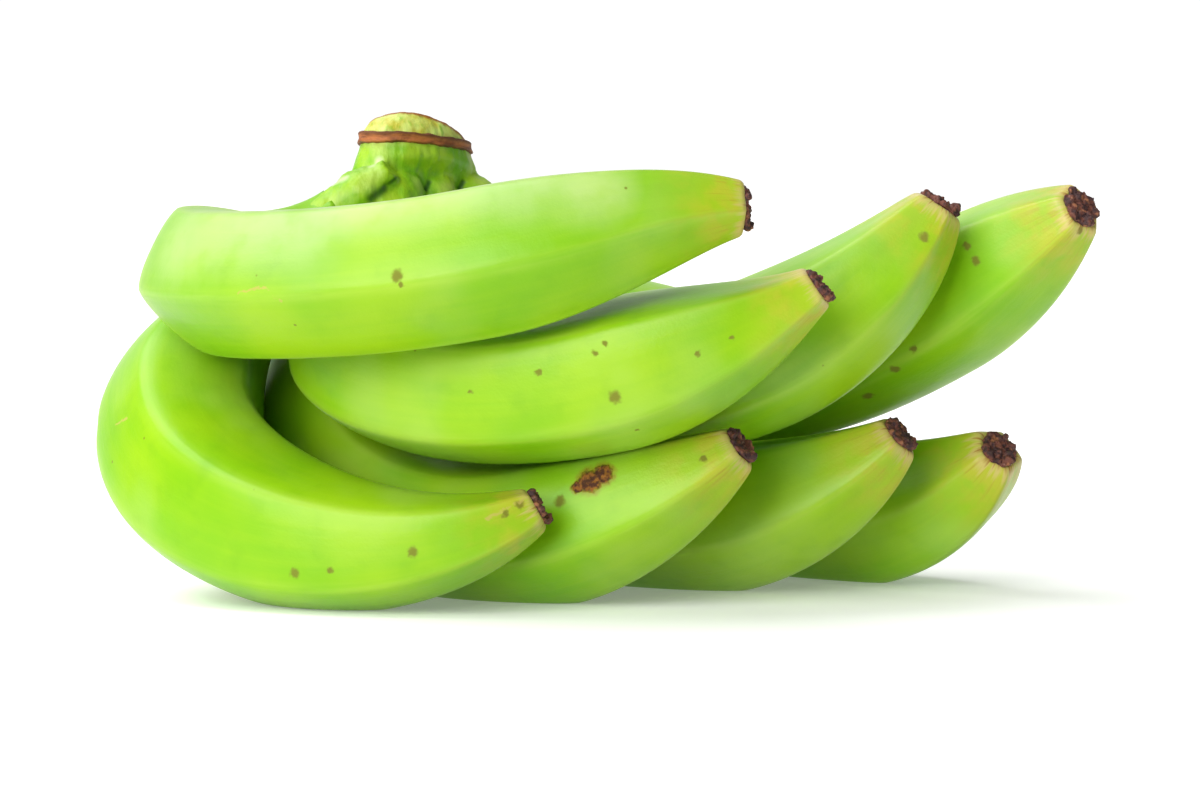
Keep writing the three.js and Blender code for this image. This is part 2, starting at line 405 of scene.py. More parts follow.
def lid(ring, sides):
    """A face that fills one ring of a tube."""
    return tuple(range(ring * sides, (ring + 1) * sides))


def closed_tube(rings):
    """The points and faces of a tube through the rings, with a lid on both ends."""
    sides = len(rings[0])
    faces = tube_faces(len(rings), sides)
    faces.append(lid(len(rings) - 1, sides))
    faces.append(lid(0, sides)[::-1])
    return np.concatenate(rings), faces


def add_to_scene(name, data):
    obj = bpy.data.objects.new(name, data)
    bpy.context.scene.collection.objects.link(obj)
    return obj


def make_object(name, points, faces, materials, attributes=()):
    """A smooth mesh object from points in millimetres, with named values on its points."""
    mesh = bpy.data.meshes.new(name)
    mesh.from_pydata((np.asarray(points) * MM).tolist(), [], faces)
    for label, values in dict(attributes).items():
        values = np.asarray(values, float)
        kind = "FLOAT" if values.ndim == 1 else "FLOAT_VECTOR"
        layer = mesh.attributes.new(label, kind, "POINT")
        layer.data.foreach_set("value" if values.ndim == 1 else "vector", values.ravel())
    mesh.polygons.foreach_set("use_smooth", [True] * len(mesh.polygons))
    for material in materials:
        mesh.materials.append(material)
    return add_to_scene(name, mesh)


def remeshed(obj, name, voxel, smoothing):
    """One smooth skin in small quads round an object, which takes its place."""
    remesh = obj.modifiers.new("remesh", "REMESH")
    remesh.mode = "VOXEL"
    remesh.voxel_size = voxel * MM
    smooth = obj.modifiers.new("smooth", "SMOOTH")
    smooth.factor = 0.5
    smooth.iterations = smoothing
    graph = bpy.context.evaluated_depsgraph_get()
    mesh = bpy.data.meshes.new_from_object(obj.evaluated_get(graph))
    bpy.data.objects.remove(obj)
    mesh.name = name
    mesh.polygons.foreach_set("use_smooth", [True] * len(mesh.polygons))
    return add_to_scene(name, mesh)


def skin_of(obj):
    """The places of an object's vertices, in millimetres, and their normals."""
    count = len(obj.data.vertices)
    places = np.empty(3 * count)
    normals = np.empty(3 * count)
    obj.data.vertices.foreach_get("co", places)
    obj.data.vertices.foreach_get("normal", normals)
    return places.reshape(-1, 3) / MM, normals.reshape(-1, 3)


def move_skin(obj, places):
    """Puts an object's vertices at places in millimetres."""
    obj.data.vertices.foreach_set("co", (inside_box(places) * MM).ravel())
    obj.data.update()


def belong(obj, slot, *nodes):
    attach(obj, BODY)
    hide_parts(*nodes)


# Material graphs

class Graph:
    """A material and short ways to add nodes to it. Inputs are numbers, colours or sockets."""

    def __init__(self, name):
        self.material = bpy.data.materials.new(name)
        self.material.use_nodes = True
        self.tree = self.material.node_tree
        self.shader = self.tree.nodes["Principled BSDF"]
        position = self.add("ShaderNodeTexCoord").outputs["Object"]
        self.place = self.vector("SCALE", position, scale=1 / MM)

    def feed(self, socket, value):
        if isinstance(value, bpy.types.NodeSocket):
            self.tree.links.new(value, socket)
        else:
            socket.default_value = value

    def add(self, kind, inputs=(), **settings):
        node = self.tree.nodes.new(kind)
        for key, value in settings.items():
            setattr(node, key, value)
        for key, value in dict(inputs).items():
            self.feed(node.inputs[key], value)
        return node

    def shade(self, **inputs):
        for key, value in inputs.items():
            self.feed(self.shader.inputs[key.replace("_", " ")], value)

    def math(self, operation, a, b, clamp=False):
        node = self.add("ShaderNodeMath", {0: a, 1: b}, operation=operation, use_clamp=clamp)
        return node.outputs[0]

    def plus(self, a, b, clamp=False):
        return self.math("ADD", a, b, clamp)

    def minus(self, a, b):
        return self.math("SUBTRACT", a, b)

    def times(self, a, b, clamp=False):
        return self.math("MULTIPLY", a, b, clamp)

    def larger(self, a, b):
        return self.math("MAXIMUM", a, b)

    def vector(self, operation, a, b=None, scale=None):
        inputs = {0: a}
        if b is not None:
            inputs[1] = b
        if scale is not None:
            inputs["Scale"] = scale
        node = self.add("ShaderNodeVectorMath", inputs, operation=operation)
        gives_number = operation in ("DISTANCE", "DOT_PRODUCT", "LENGTH")
        return node.outputs["Value" if gives_number else "Vector"]

    def step(self, value, low, high):
        """0 where value is at low, 1 where it is at high, and smooth between."""
        inputs = {"Value": value, "From Min": low, "From Max": high}
        return self.add("ShaderNodeMapRange", inputs, interpolation_type="SMOOTHSTEP").outputs[0]

    def mix(self, share, a, b):
        node = self.add("ShaderNodeMix", data_type="RGBA", clamp_factor=True)
        self.feed(node.inputs[0], share)
        self.feed(node.inputs[6], a)
        self.feed(node.inputs[7], b)
        return node.outputs[2]

    def paint(self, under, over, mask, strength):
        """One colour over another where the mask is, no stronger than strength."""
        return self.mix(self.times(mask, strength), under, over)

    def attribute(self, name, output="Fac"):
        return self.add("ShaderNodeAttribute", attribute_name=name).outputs[output]

    def noise(self, size, detail, vector=None, output="Fac"):
        """Soft noise whose grains are about size millimetres."""
        inputs = {"Vector": vector or self.place, "Scale": 1 / size, "Detail": detail}
        return self.add("ShaderNodeTexNoise", inputs).outputs[output]

    def cells(self, size):
        """Round cells about size millimetres apart: their distances and their colours."""
        return self.add("ShaderNodeTexVoronoi", {"Vector": self.place, "Scale": 1 / size}).outputs

    def bump(self, height, distance):
        inputs = {"Height": height, "Distance": distance * MM}
        return self.add("ShaderNodeBump", inputs).outputs["Normal"]


def colour(red, green, blue):
    return (red, green, blue, 1.0)


SHADE_GREEN = colour(0.02, 0.09, 0.002)
DEEP_GREEN = colour(0.08, 0.27, 0.001)
FRESH_GREEN = colour(0.15, 0.4, 0.002)
YELLOW_GREEN = colour(0.31, 0.51, 0.008)
PALE_GREEN = colour(0.44, 0.58, 0.11)
CUT_GREEN = colour(0.55, 0.66, 0.16)
# Pale waxy bloom, also laid on as painted sheen
WAX_BLOOM_AND_SHEEN = colour(0.58, 0.66, 0.36)
RIPE_YELLOW = colour(0.44, 0.41, 0.03)
CREAM = colour(0.54, 0.4, 0.16)
RUST = colour(0.27, 0.1, 0.015)
OLIVE_BROWN = colour(0.15, 0.13, 0.012)
SCAB_BROWN = colour(0.07, 0.022, 0.01)
SCRATCH_TAN = colour(0.45, 0.36, 0.09)
BARK_DARK = colour(0.17, 0.045, 0.009)
BARK_LIGHT = colour(0.42, 0.13, 0.028)
BARK_TOP = colour(0.1, 0.03, 0.008)
BARK_FOOT = colour(0.12, 0.05, 0.01)
FLESH = colour(0.56, 0.47, 0.26)
FLESH_STAIN = colour(0.27, 0.16, 0.07)
FLESH_PORE = colour(0.2, 0.12, 0.05)
FLESH_RIM = colour(0.1, 0.045, 0.02)
DRY_DARK = colour(0.035, 0.01, 0.01)
DRY_BROWN = colour(0.14, 0.04, 0.022)
DRY_TAN = colour(0.34, 0.13, 0.05)
DRY_ASH = colour(0.27, 0.15, 0.12)
FLOOR_GREY = colour(0.9, 0.9, 0.9)
WHITE = colour(1.0, 1.0, 1.0)


def distance_from_mark(graph, points, place):
    """The distance of a place from a point, or from the stroke between two."""
    start = points[0]
    if len(points) == 1:
        return graph.vector("DISTANCE", place, start)
    along = points[1] - start
    from_start = graph.vector("SUBTRACT", place, start)
    share = graph.vector("DOT_PRODUCT", from_start, along / along.length_squared)
    nearest = graph.vector("SCALE", along, scale=graph.times(share, 1.0, clamp=True))
    return graph.vector("LENGTH", graph.vector("SUBTRACT", from_start, nearest))


def marks_near(graph, marks, place, softness):
    """A mask that is 1 in the marks, with soft edges."""
    mask = 0.0
    for mark in marks:
        distance = distance_from_mark(graph, mark["points"], place)
        outer = mark["radius"] * (1 + softness)
        inner = mark["radius"] * (1 - softness)
        mask = graph.larger(graph.step(distance, outer, inner), mask)
    return mask


def peel_greens(graph, fibres, crest):
    """Broad drifts of green with fibres, paler crests, and a deeper green at the stalk."""
    drift = graph.step(graph.noise(42, 2), 0.3, 0.7)
    drift = graph.plus(drift, graph.times(graph.minus(fibres, 0.5), 0.7), clamp=True)
    drift = graph.plus(graph.times(drift, 0.6), 0.2)
    skin = graph.mix(drift, FRESH_GREEN, YELLOW_GREEN)
    skin = graph.paint(skin, DEEP_GREEN, graph.step(graph.noise(9, 3), 0.5, 0.8), strength=0.18)
    # Paler green along the crests of the ridges
    pale_crest_mask = graph.times(graph.step(crest, 0.55, 1.0), graph.step(fibres, 0.25, 0.7))
    skin = graph.paint(skin, PALE_GREEN, pale_crest_mask, strength=0.22)
    stalk = graph.step(graph.attribute("from_crown"), 62, 18)
    return graph.paint(skin, FRESH_GREEN, stalk, strength=0.45)


def peel_bloom_and_painted_sheen(graph, skin, pale_bloom_and_sheen_marks):
    """Faint clouds of pale waxy bloom, and painted sheen in soft patches where the light falls."""
    cloudy = graph.plus(graph.times(graph.step(graph.noise(12, 3), 0.3, 0.6), 0.4), 0.6)
    # Painted sheen: pale patches on the sides of the fingers that the light falls on
    patches = graph.times(marks_near(graph, pale_bloom_and_sheen_marks, graph.place, softness=0.95), cloudy)
    clouds = graph.times(graph.step(graph.noise(32, 2), 0.45, 0.75), 0.1)
    return graph.mix(graph.larger(graph.times(patches, 0.4), clouds), skin, WAX_BLOOM_AND_SHEEN)


def peel_neck(graph, skin, grain, fibres, crest):
    """The neck behind the flower: yellow patches, rusty streaks and crests, and a cream edge."""
    to_flower = graph.attribute("to_flower")
    neck = graph.plus(to_flower, graph.times(graph.minus(fibres, 0.5), 12.0))
    patches = graph.step(graph.noise(7, 3), 0.36, 0.62)
    yellow = graph.times(graph.step(neck, 26, 2), graph.plus(graph.times(patches, 0.5), 0.3))
    skin = graph.mix(yellow, skin, RIPE_YELLOW)
    streaks = graph.times(graph.step(graph.noise(1.7, 3, grain), 0.52, 0.66), patches)
    streaks = graph.times(streaks, graph.step(to_flower, 16, 2))
    crests = graph.times(graph.step(crest, 0.8, 0.95), graph.step(to_flower, 40, 6))
    crests = graph.times(crests, graph.step(fibres, 0.42, 0.62))
    rusty = graph.larger(streaks, graph.times(crests, 0.45))
    skin = graph.paint(skin, RUST, rusty, strength=0.35)
    skin = graph.paint(skin, CREAM, graph.step(neck, 4.0, 0.2), strength=0.65)
    return graph.paint(skin, RUST, graph.step(neck, 0.4, -2.0), strength=0.8)


def peel_specks(graph, skin):
    """Small specks in some of the cells of a loose pattern."""
    dots = graph.cells(11)
    chance = graph.add("ShaderNodeSeparateColor", {0: dots["Color"]}).outputs[0]
    speck = graph.times(graph.step(dots["Distance"], 0.055, 0.025), graph.step(chance, 0.6, 0.72))
    return graph.paint(skin, OLIVE_BROWN, speck, strength=0.75)


def peel_marks(graph, skin, spots, scabs, scratches):
    """The marks that the photograph shows, with ragged outlines. Gives two masks too."""
    shift = graph.vector("SUBTRACT", graph.noise(1.6, 3, output="Color"), (0.5, 0.5, 0.5))
    place = graph.vector("ADD", graph.place, graph.vector("SCALE", shift, scale=2.2))
    spotted = marks_near(graph, spots, place, softness=0.45)
    skin = graph.paint(skin, OLIVE_BROWN, spotted, strength=0.85)
    scratched = marks_near(graph, scratches, place, softness=0.5)
    skin = graph.paint(skin, SCRATCH_TAN, scratched, strength=0.7)
    halos = [dict(mark, radius=mark["radius"] * SCAB_HALO) for mark in scabs]
    skin = graph.paint(skin, RUST, marks_near(graph, halos, place, softness=0.25), strength=0.6)
    scabbed = marks_near(graph, scabs, place, softness=0.2)
    crust = graph.mix(graph.step(graph.noise(1.1, 4), 0.4, 0.62), SCAB_BROWN, RUST)
    return graph.mix(scabbed, skin, crust), spotted, scabbed


def peel_material(spots, scabs, scratches, pale_bloom_and_sheen_marks):
    graph = Graph("plantain_peel")
    grain = graph.attribute("grain", "Vector")
    crest = graph.attribute("crest")
    fibres = graph.noise(2.6, 4, grain)
    skin = peel_greens(graph, fibres, crest)
    skin = peel_bloom_and_painted_sheen(graph, skin, pale_bloom_and_sheen_marks)
    skin = peel_neck(graph, skin, grain, fibres, crest)
    skin = peel_specks(graph, skin)
    skin, spotted, scabbed = peel_marks(graph, skin, spots, scabs, scratches)
    rough = graph.plus(graph.times(graph.noise(16, 3), 0.16), 0.26)
    rough = graph.plus(rough, graph.times(graph.larger(scabbed, spotted), 0.35))
    height = graph.plus(graph.times(fibres, 0.35), graph.times(graph.noise(0.7, 2), 0.25))
    height = graph.plus(height, graph.times(graph.noise(7, 2), 0.9))
    crusty = graph.times(scabbed, graph.noise(1.3, 4))
    height = graph.plus(height, graph.times(crusty, 5.0))
    graph.shade(Base_Color=skin, Roughness=rough, Normal=graph.bump(height, 0.16),
                Specular_IOR_Level=0.25, Subsurface_Weight=0.1,
                Subsurface_Radius=(0.6, 1.0, 0.15), Subsurface_Scale=0.003)
    return graph.material


def crown_material(creases, pale_bloom_and_sheen_marks):
    graph = Graph("crown_skin")
    height = graph.add("ShaderNodeSeparateXYZ", {0: graph.place}).outputs["Z"]
    fibres = graph.noise(1.7, 4, graph.vector("MULTIPLY", graph.place, (1.0, 1.0, 0.18)))

    # Mottled green below the scar, and yellower above it
    low = graph.mix(graph.step(graph.noise(9, 3), 0.32, 0.68), FRESH_GREEN, YELLOW_GREEN)
    low = graph.paint(low, PALE_GREEN, graph.step(graph.noise(13, 2), 0.48, 0.68), strength=0.5)
    high = graph.mix(graph.step(graph.noise(6, 3), 0.35, 0.65), CUT_GREEN, RIPE_YELLOW)
    high = graph.paint(high, FRESH_GREEN, graph.step(fibres, 0.5, 0.7), strength=0.5)
    skin = graph.mix(graph.step(height, 125, 129), low, high)
    skin = graph.paint(skin, DEEP_GREEN, graph.step(fibres, 0.58, 0.74), strength=0.25)

    # Bloom, painted shade in the folds, and a rusty edge along the cut
    pale = marks_near(graph, pale_bloom_and_sheen_marks, graph.place, softness=0.8)
    skin = graph.paint(skin, WAX_BLOOM_AND_SHEEN, pale, strength=0.7)
    # Painted shade: near-black green laid into the folds
    fold = marks_near(graph, creases, graph.place, softness=0.7)
    skin = graph.paint(skin, SHADE_GREEN, fold, strength=0.95)
    point, normal = cut_plane()
    from_cut = graph.vector("SUBTRACT", graph.place, tuple(point))
    below_cut = graph.vector("DOT_PRODUCT", from_cut, tuple(normal))
    ragged = graph.plus(below_cut, graph.times(fibres, 1.6))
    skin = graph.mix(graph.step(ragged, -0.9, 0.4), skin, RUST)

    bumps = graph.plus(fibres, graph.times(graph.noise(4, 3), 1.2))
    rough = graph.plus(graph.times(graph.noise(5, 2), 0.2), 0.38)
    graph.shade(Base_Color=skin, Roughness=rough, Normal=graph.bump(bumps, 0.3), IOR=1.45)
    return graph.material


def scar_material():
    graph = Graph("bract_scar")
    height = graph.attribute("height")
    bark = graph.noise(1.5, 4, graph.vector("MULTIPLY", graph.place, (0.22, 0.22, 1.0)))
    tone = graph.mix(graph.step(bark, 0.36, 0.66), BARK_DARK, BARK_LIGHT)
    top = graph.step(graph.plus(height, graph.times(bark, 0.3)), 0.78, 1.05)
    tone = graph.paint(tone, BARK_TOP, top, strength=0.85)
    foot = graph.step(graph.plus(height, graph.times(bark, 0.4)), 0.38, 0.12)
    tone = graph.paint(tone, BARK_FOOT, foot, strength=0.7)
    bumps = graph.plus(bark, graph.times(graph.noise(0.8, 3), 0.4))
    graph.shade(Base_Color=tone, Roughness=0.7, Normal=graph.bump(bumps, 0.5))
    return graph.material


def cut_material():
    graph = Graph("cut_face")
    pores = graph.cells(1.5)["Distance"]
    stain = graph.noise(5, 4)
    flesh = graph.mix(graph.step(stain, 0.35, 0.7), FLESH, FLESH_STAIN)
    flesh = graph.paint(flesh, FLESH_PORE, graph.step(pores, 0.5, 0.15), strength=0.5)
    ragged = graph.plus(graph.attribute("inward"), graph.times(stain, 0.2))
    flesh = graph.mix(graph.step(ragged, 0.26, 0.1), flesh, FLESH_RIM)
    bumps = graph.plus(stain, pores)
    graph.shade(Base_Color=flesh, Roughness=0.85, Normal=graph.bump(bumps, 0.5))
    return graph.material


def flower_material():
    graph = Graph("dry_flower")
    tone = graph.mix(graph.step(graph.noise(1.9, 4), 0.4, 0.62), DRY_DARK, DRY_BROWN)
    torn = graph.step(graph.noise(3.1, 3), 0.56, 0.68)
    tone = graph.paint(tone, DRY_TAN, torn, strength=0.7)
    ash = graph.step(graph.noise(1.2, 3), 0.58, 0.75)
    tone = graph.paint(tone, DRY_ASH, ash, strength=0.5)
    graph.shade(Base_Color=tone, Roughness=0.72, Normal=graph.bump(graph.noise(0.6, 4), 0.3))
    return graph.material


def floor_material():
    graph = Graph("pale_floor")
    graph.shade(Base_Color=FLOOR_GREY, Roughness=0.8, Specular_IOR_Level=0.2,
                Emission_Color=WHITE, Emission_Strength=0.18)
    return graph.material


# Fingers

def finger_radius(finger, distances, length):
    """A stalk that swells to the belly, and a neck that draws in to the tip."""
    swelling = smoothstep(distances - STALK_LENGTH, 0, finger["swell"])
    stalk_end = STALK_RADIUS + (finger["belly"] - STALK_RADIUS) * swelling
    near_flower = np.clip((length - distances) / finger["neck"], 0, 1)
    draw_in = np.sin(near_flower * math.pi / 2) ** finger["fullness"]
    flower_end = finger["tip"] + (finger["belly"] - finger["tip"]) * draw_in
    return stalk_end * flower_end / finger["belly"]


def lie_on_table(points):
    """Flattens what would sink below the table, with a soft edge."""
    low = points[:, 2] < TABLE_BLEND
    points[low, 2] = TABLE_BLEND * np.exp((points[low, 2] - TABLE_BLEND) / TABLE_BLEND)
    return points


def finger_stations(length):
    """Distances of the rings along a finger, with the share of its radius that each has."""
    step = np.linspace(0, 1, FINGER_RINGS)
    crowded = step + RING_CROWDING * np.sin(math.pi * step) * step * (1 - step)
    blunt_start = length - BLUNT_LENGTH
    along = SKIN_START + (blunt_start - SKIN_START) * crowded
    rounding = np.linspace(0, math.pi / 2, BLUNT_RINGS + 1)[1:]
    blunt = blunt_start + BLUNT_LENGTH * np.sin(rounding)
    blunt_shares = 1 - BLUNT_SHRINK * (1 - np.cos(rounding))
    dish = length - DISH_STEP * np.arange(1, len(DISH_SHARES) + 1)
    distances = np.concatenate([along, blunt, dish])
    shares = np.concatenate([np.ones(FINGER_RINGS), blunt_shares, DISH_SHARES])
    return distances, shares


def finger_piece(finger, seed, material):
    line = MiddleLine(finger["handles"])
    distances, shares = finger_stations(line.length)
    to_flower = line.length - distances
    points, tangents = line.at(distances)
    normals = untwisted_normals(tangents, math.radians(finger["turn"]))
    sides = np.cross(tangents, normals)

    angles = full_circle(FINGER_SIDES)
    wander = RIDGE_WANDER * wave_noise(distances, seed, RIDGE_WANDER_LENGTH)
    around = angles[None] - wander[:, None]
    face = np.sqrt(np.sin(around * RIDGES / 2) ** 2 + RIDGE_ROUNDING ** 2)
    face = face / math.sqrt(1 + RIDGE_ROUNDING ** 2)
    sharper = 1 + RIDGE_GROWTH * smoothstep(to_flower, RIDGE_GROWTH_START, RIDGE_GROWTH_END)
    ridge = 1 + RIDGE_HEIGHT * sharper[:, None] * (RIDGE_SHARE_OUTSIDE - face)
    radius = finger_radius(finger, distances, line.length) * shares
    skin, faces = closed_tube(round_rings(points, normals, sides, radius[:, None] * ridge, angles))
    skin = inside_box(lie_on_table(skin))

    count = len(distances)
    grain = np.stack([
        np.tile(GRAIN_AROUND * np.cos(angles), count) + GRAIN_APART * seed,
        np.tile(GRAIN_AROUND * np.sin(angles), count),
        np.repeat(distances * GRAIN_ALONG, FINGER_SIDES),
    ], axis=1)
    attributes = {
        "crest": 1 - face.ravel(),
        "to_flower": np.repeat(to_flower, FINGER_SIDES),
        "from_crown": np.repeat(distances, FINGER_SIDES),
        "grain": grain,
    }
    piece = make_object(finger["name"] + "_skin", skin, faces, [material], attributes)
    belong(piece, "peel", finger["name"])
    return piece


# Dry flower ends

def add_ball(mesh, centre, radii, axes):
    made = bmesh.ops.create_icosphere(mesh, subdivisions=2, radius=1.0)
    for vertex in made["verts"]:
        local = np.array(vertex.co) * radii
        vertex.co = Vector((centre + local @ axes) * MM)


def flower_clumps(finger, seed, end, axes):
    """A flat core, a torn and uneven rim, lumps inside it, and a nub of the old style."""
    rnd = random.Random(seed)
    width = finger["tip"] * FLOWER_WIDTH
    outward = axes[2]

    def at(angle, reach, height):
        sideways = math.cos(angle) * axes[0] + math.sin(angle) * axes[1]
        return end + outward * height + width * reach * sideways

    mesh = bmesh.new()
    core_radius = width * CORE_WIDTH
    core_radii = (core_radius, core_radius, CORE_THICKNESS)
    add_ball(mesh, end + outward * CORE_HEIGHT, core_radii, axes)
    for k in range(RIM_CLUMPS):
        angle = 2 * math.pi * (k + rnd.uniform(-0.4, 0.4)) / RIM_CLUMPS
        size = rnd.uniform(0.6, 1.5)
        reach = rnd.uniform(0.66, 0.84)
        height = rnd.uniform(0.1, 0.9)
        thickness = rnd.uniform(0.7, 1.5)
        add_ball(mesh, at(angle, reach, height), (size, size, thickness), axes)
    for _ in range(INNER_CLUMPS):
        angle = rnd.uniform(0, 2 * math.pi)
        size = rnd.uniform(1.3, 2.0)
        reach = rnd.uniform(0.45, 0.72)
        height = rnd.uniform(0.6, 1.1)
        thickness = rnd.uniform(1.0, 1.7)
        radii = (size, size * INNER_CLUMP_NARROW, thickness)
        add_ball(mesh, at(angle, reach, height), radii, axes)
    down = math.atan2(-axes[1][2], -axes[0][2])
    add_ball(mesh, at(down + rnd.uniform(-0.3, 0.3), NUB_REACH, NUB_HEIGHT), NUB_RADII, axes)
    return mesh


def flower_piece(finger, seed, material):
    """The dry crust of the flower at the end of a finger."""
    line = MiddleLine(finger["handles"])
    (end,), (tangent,) = line.at([line.length])
    (normal,) = untwisted_normals(np.array([tangent]), 0.0)
    axes = np.stack([normal, np.cross(tangent, normal), tangent])
    clumps = flower_clumps(finger, seed, end, axes)
    data = bpy.data.meshes.new("clumps")
    clumps.to_mesh(data)
    clumps.free()
    rough = add_to_scene("clumps", data)
    piece = remeshed(rough, finger["name"] + "_dry_flower", FLOWER_VOXEL, smoothing=1)
    places, normals = skin_of(piece)
    crust = fractal_noise(places, CRUST_GRAIN, detail=4)
    move_skin(piece, places + (tangent * CRUST_ALONG + normals * CRUST_OUTWARD) * crust[:, None])
    piece.data.materials.append(material)
    belong(piece, "dry_flower_end", finger["name"] + "_flower_end")


# Crown

ROW = unit(np.array([math.cos(ROW_ANGLE), math.sin(ROW_ANGLE), -math.tan(CROWN_PITCH)]))


def crown_ring(section, sides, grow=0.0):
    """A ring of points round the crown at one of its sections."""
    middle = CROWN_FOOT + CROWN_LEAN * section["height"] - FOOTPRINT_MIDDLE
    across = np.array([-math.sin(ROW_ANGLE), math.cos(ROW_ANGLE), 0.0])
    across = rotate(across, ROW, math.radians(-section["tilt"]))
    angles = full_circle(sides)
    along = (section["long"] + grow) * np.cos(angles)
    wide = (section["wide"] + grow) * np.sin(angles)
    return middle + along[:, None] * ROW + wide[:, None] * across


def stalk_tube(finger):
    """The stalk of a finger up to where it dips under the finger's own skin."""
    line = MiddleLine(finger["handles"])
    distances = np.linspace(STALK_START, STALK_END, STALK_RINGS)
    points, tangents = line.at(distances)
    normals = untwisted_normals(tangents, 0.0)
    sides = np.cross(tangents, normals)
    radius = finger_radius(finger, distances, line.length)
    radius = radius * (ROOT_SHARE + (1 - ROOT_SHARE) * smoothstep(distances, STALK_START, ROOT_END))
    radius = radius + COLLAR_HEIGHT * smoothstep(distances, COLLAR_END, COLLAR_FULL)
    radius = radius - DIP_DEPTH * smoothstep(distances, DIP_START, STALK_END)
    return closed_tube(round_rings(points, normals, sides, radius, full_circle(STALK_SIDES)))


def cut_plane():
    """The point and the outward normal of the knife cut."""
    normal = np.array([0.0, math.sin(CUT_TILT), math.cos(CUT_TILT)])
    return CUT_POINT - FOOTPRINT_MIDDLE, rotate(normal, UP, CUT_HEADING)


def away_from_stroke(places, points):
    """The distance of each place from a stroke between two points."""
    start, stop = (np.array(point) for point in points)
    share = np.clip((places - start) @ (stop - start) / ((stop - start) @ (stop - start)), 0, 1)
    return np.linalg.norm(places - start - share[:, None] * (stop - start), axis=1)


def crown_shape():
    """The core and the stalks of the crown, grown together in one lumpy skin."""
    core = [crown_ring(section, CROWN_SIDES, -CORE_INSET * (section["height"] < CORE_INSET_BELOW))
            for section in CROWN_SECTIONS]
    all_points = []
    all_faces = []
    for points, faces in [closed_tube(core)] + [stalk_tube(finger) for finger in FINGERS]:
        start = sum(len(p) for p in all_points)
        all_faces += [tuple(start + index for index in face) for face in faces]
        all_points.append(points)
    rough = make_object("crown_rough", np.concatenate(all_points), all_faces, [])
    piece = remeshed(rough, "crown_skin", CROWN_VOXEL, CROWN_SMOOTHING)
    places, normals = skin_of(piece)
    lumps = fractal_noise(places * LUMP_STRETCH, LUMP_SIZE, detail=3)
    move_skin(piece, places + normals * LUMP_DEPTH * lumps[:, None])
    return piece


def press_creases(piece, creases):
    """Presses folds into the crown, one after the other."""
    for crease in creases:
        places, normals = skin_of(piece)
        away = away_from_stroke(places, crease["points"])
        depth = CREASE_DEPTH * crease["radius"]
        depth = depth * smoothstep(away, crease["radius"] * CREASE_REACH, 0)
        move_skin(piece, places - normals * depth[:, None])


def ordered_rims(edges):
    """The closed loops that edges make, each as its vertices in order."""
    left = set(edges)
    rims = []
    while left:
        first = next(edge for edge in edges if edge in left).verts[0]
        here = first
        rim = []
        while True:
            onward = [edge for edge in here.link_edges if edge in left]
            if not onward:
                break
            rim.append(here)
            left.remove(onward[0])
            here = onward[0].other_vert(here)
        if here == first:
            rims.append(rim)
    return rims


def knife_cut(piece, open_widest=False):
    """Cuts a piece and closes the cuts. Gives the rim of the widest, which may stay open."""
    point, normal = cut_plane()
    mesh = bmesh.new()
    mesh.from_mesh(piece.data)
    everything = mesh.verts[:] + mesh.edges[:] + mesh.faces[:]
    cut = bmesh.ops.bisect_plane(mesh, geom=everything, plane_co=Vector(point * MM),
                                 plane_no=Vector(normal), clear_outer=True)
    edges = [item for item in cut["geom_cut"] if isinstance(item, bmesh.types.BMEdge)]
    rims = sorted(ordered_rims(edges), key=len)
    widest = np.array([vertex.co for vertex in rims[-1]]) / MM
    if open_widest:
        rims.pop()
    for rim in rims:
        face = mesh.faces.new(rim)
        face.normal_update()
        if face.normal.dot(Vector(normal)) < 0:
            face.normal_flip()
    mesh.to_mesh(piece.data)
    mesh.free()
    return widest


def crown_piece(camera):
    """The skin of the crown. Gives the rim of its cut."""
    piece = crown_shape()
    tree = tree_of(piece)
    creases = placed_marks(CREASES, [tree], camera)
    pale_bloom_and_sheen_marks = placed_marks(CROWN_BLOOMS, [tree], camera)
    press_creases(piece, creases)
    rim = knife_cut(piece, open_widest=True)
    piece.data.materials.append(crown_material(creases, pale_bloom_and_sheen_marks))
    belong(piece, "crown", "crown")
    return rim


def cut_face_piece(rim):
    """The cut face: rings that close in on its middle, slightly hollow and torn."""
    _, normal = cut_plane()
    middle = rim.mean(axis=0)
    rings = []
    inward = []
    for share in np.linspace(0, CUT_LAST_RING, CUT_RINGS):
        ring = rim + (middle - rim) * share
        hollow = HOLLOW_DEPTH * math.sin(min(share / HOLLOW_FULL, 1) * math.pi / 2)
        torn = TORN_DEPTH * fractal_noise(ring, TORN_SIZE, detail=4) * min(share / TORN_FULL, 1)
        rings.append(ring - normal * (hollow + torn)[:, None])
        inward += [share] * len(ring)
    sides = len(rim)
    faces = tube_faces(CUT_RINGS, sides)
    faces.append(lid(CUT_RINGS - 1, sides))
    if np.cross(rim[1] - rim[0], middle - rim[0]).dot(normal) <= 0:
        faces = [face[::-1] for face in faces]
    skin = inside_box(np.concatenate(rings))
    piece = make_object("crown_cut_face", skin, faces, [cut_material()], {"inward": inward})
    belong(piece, "crown", "crown")


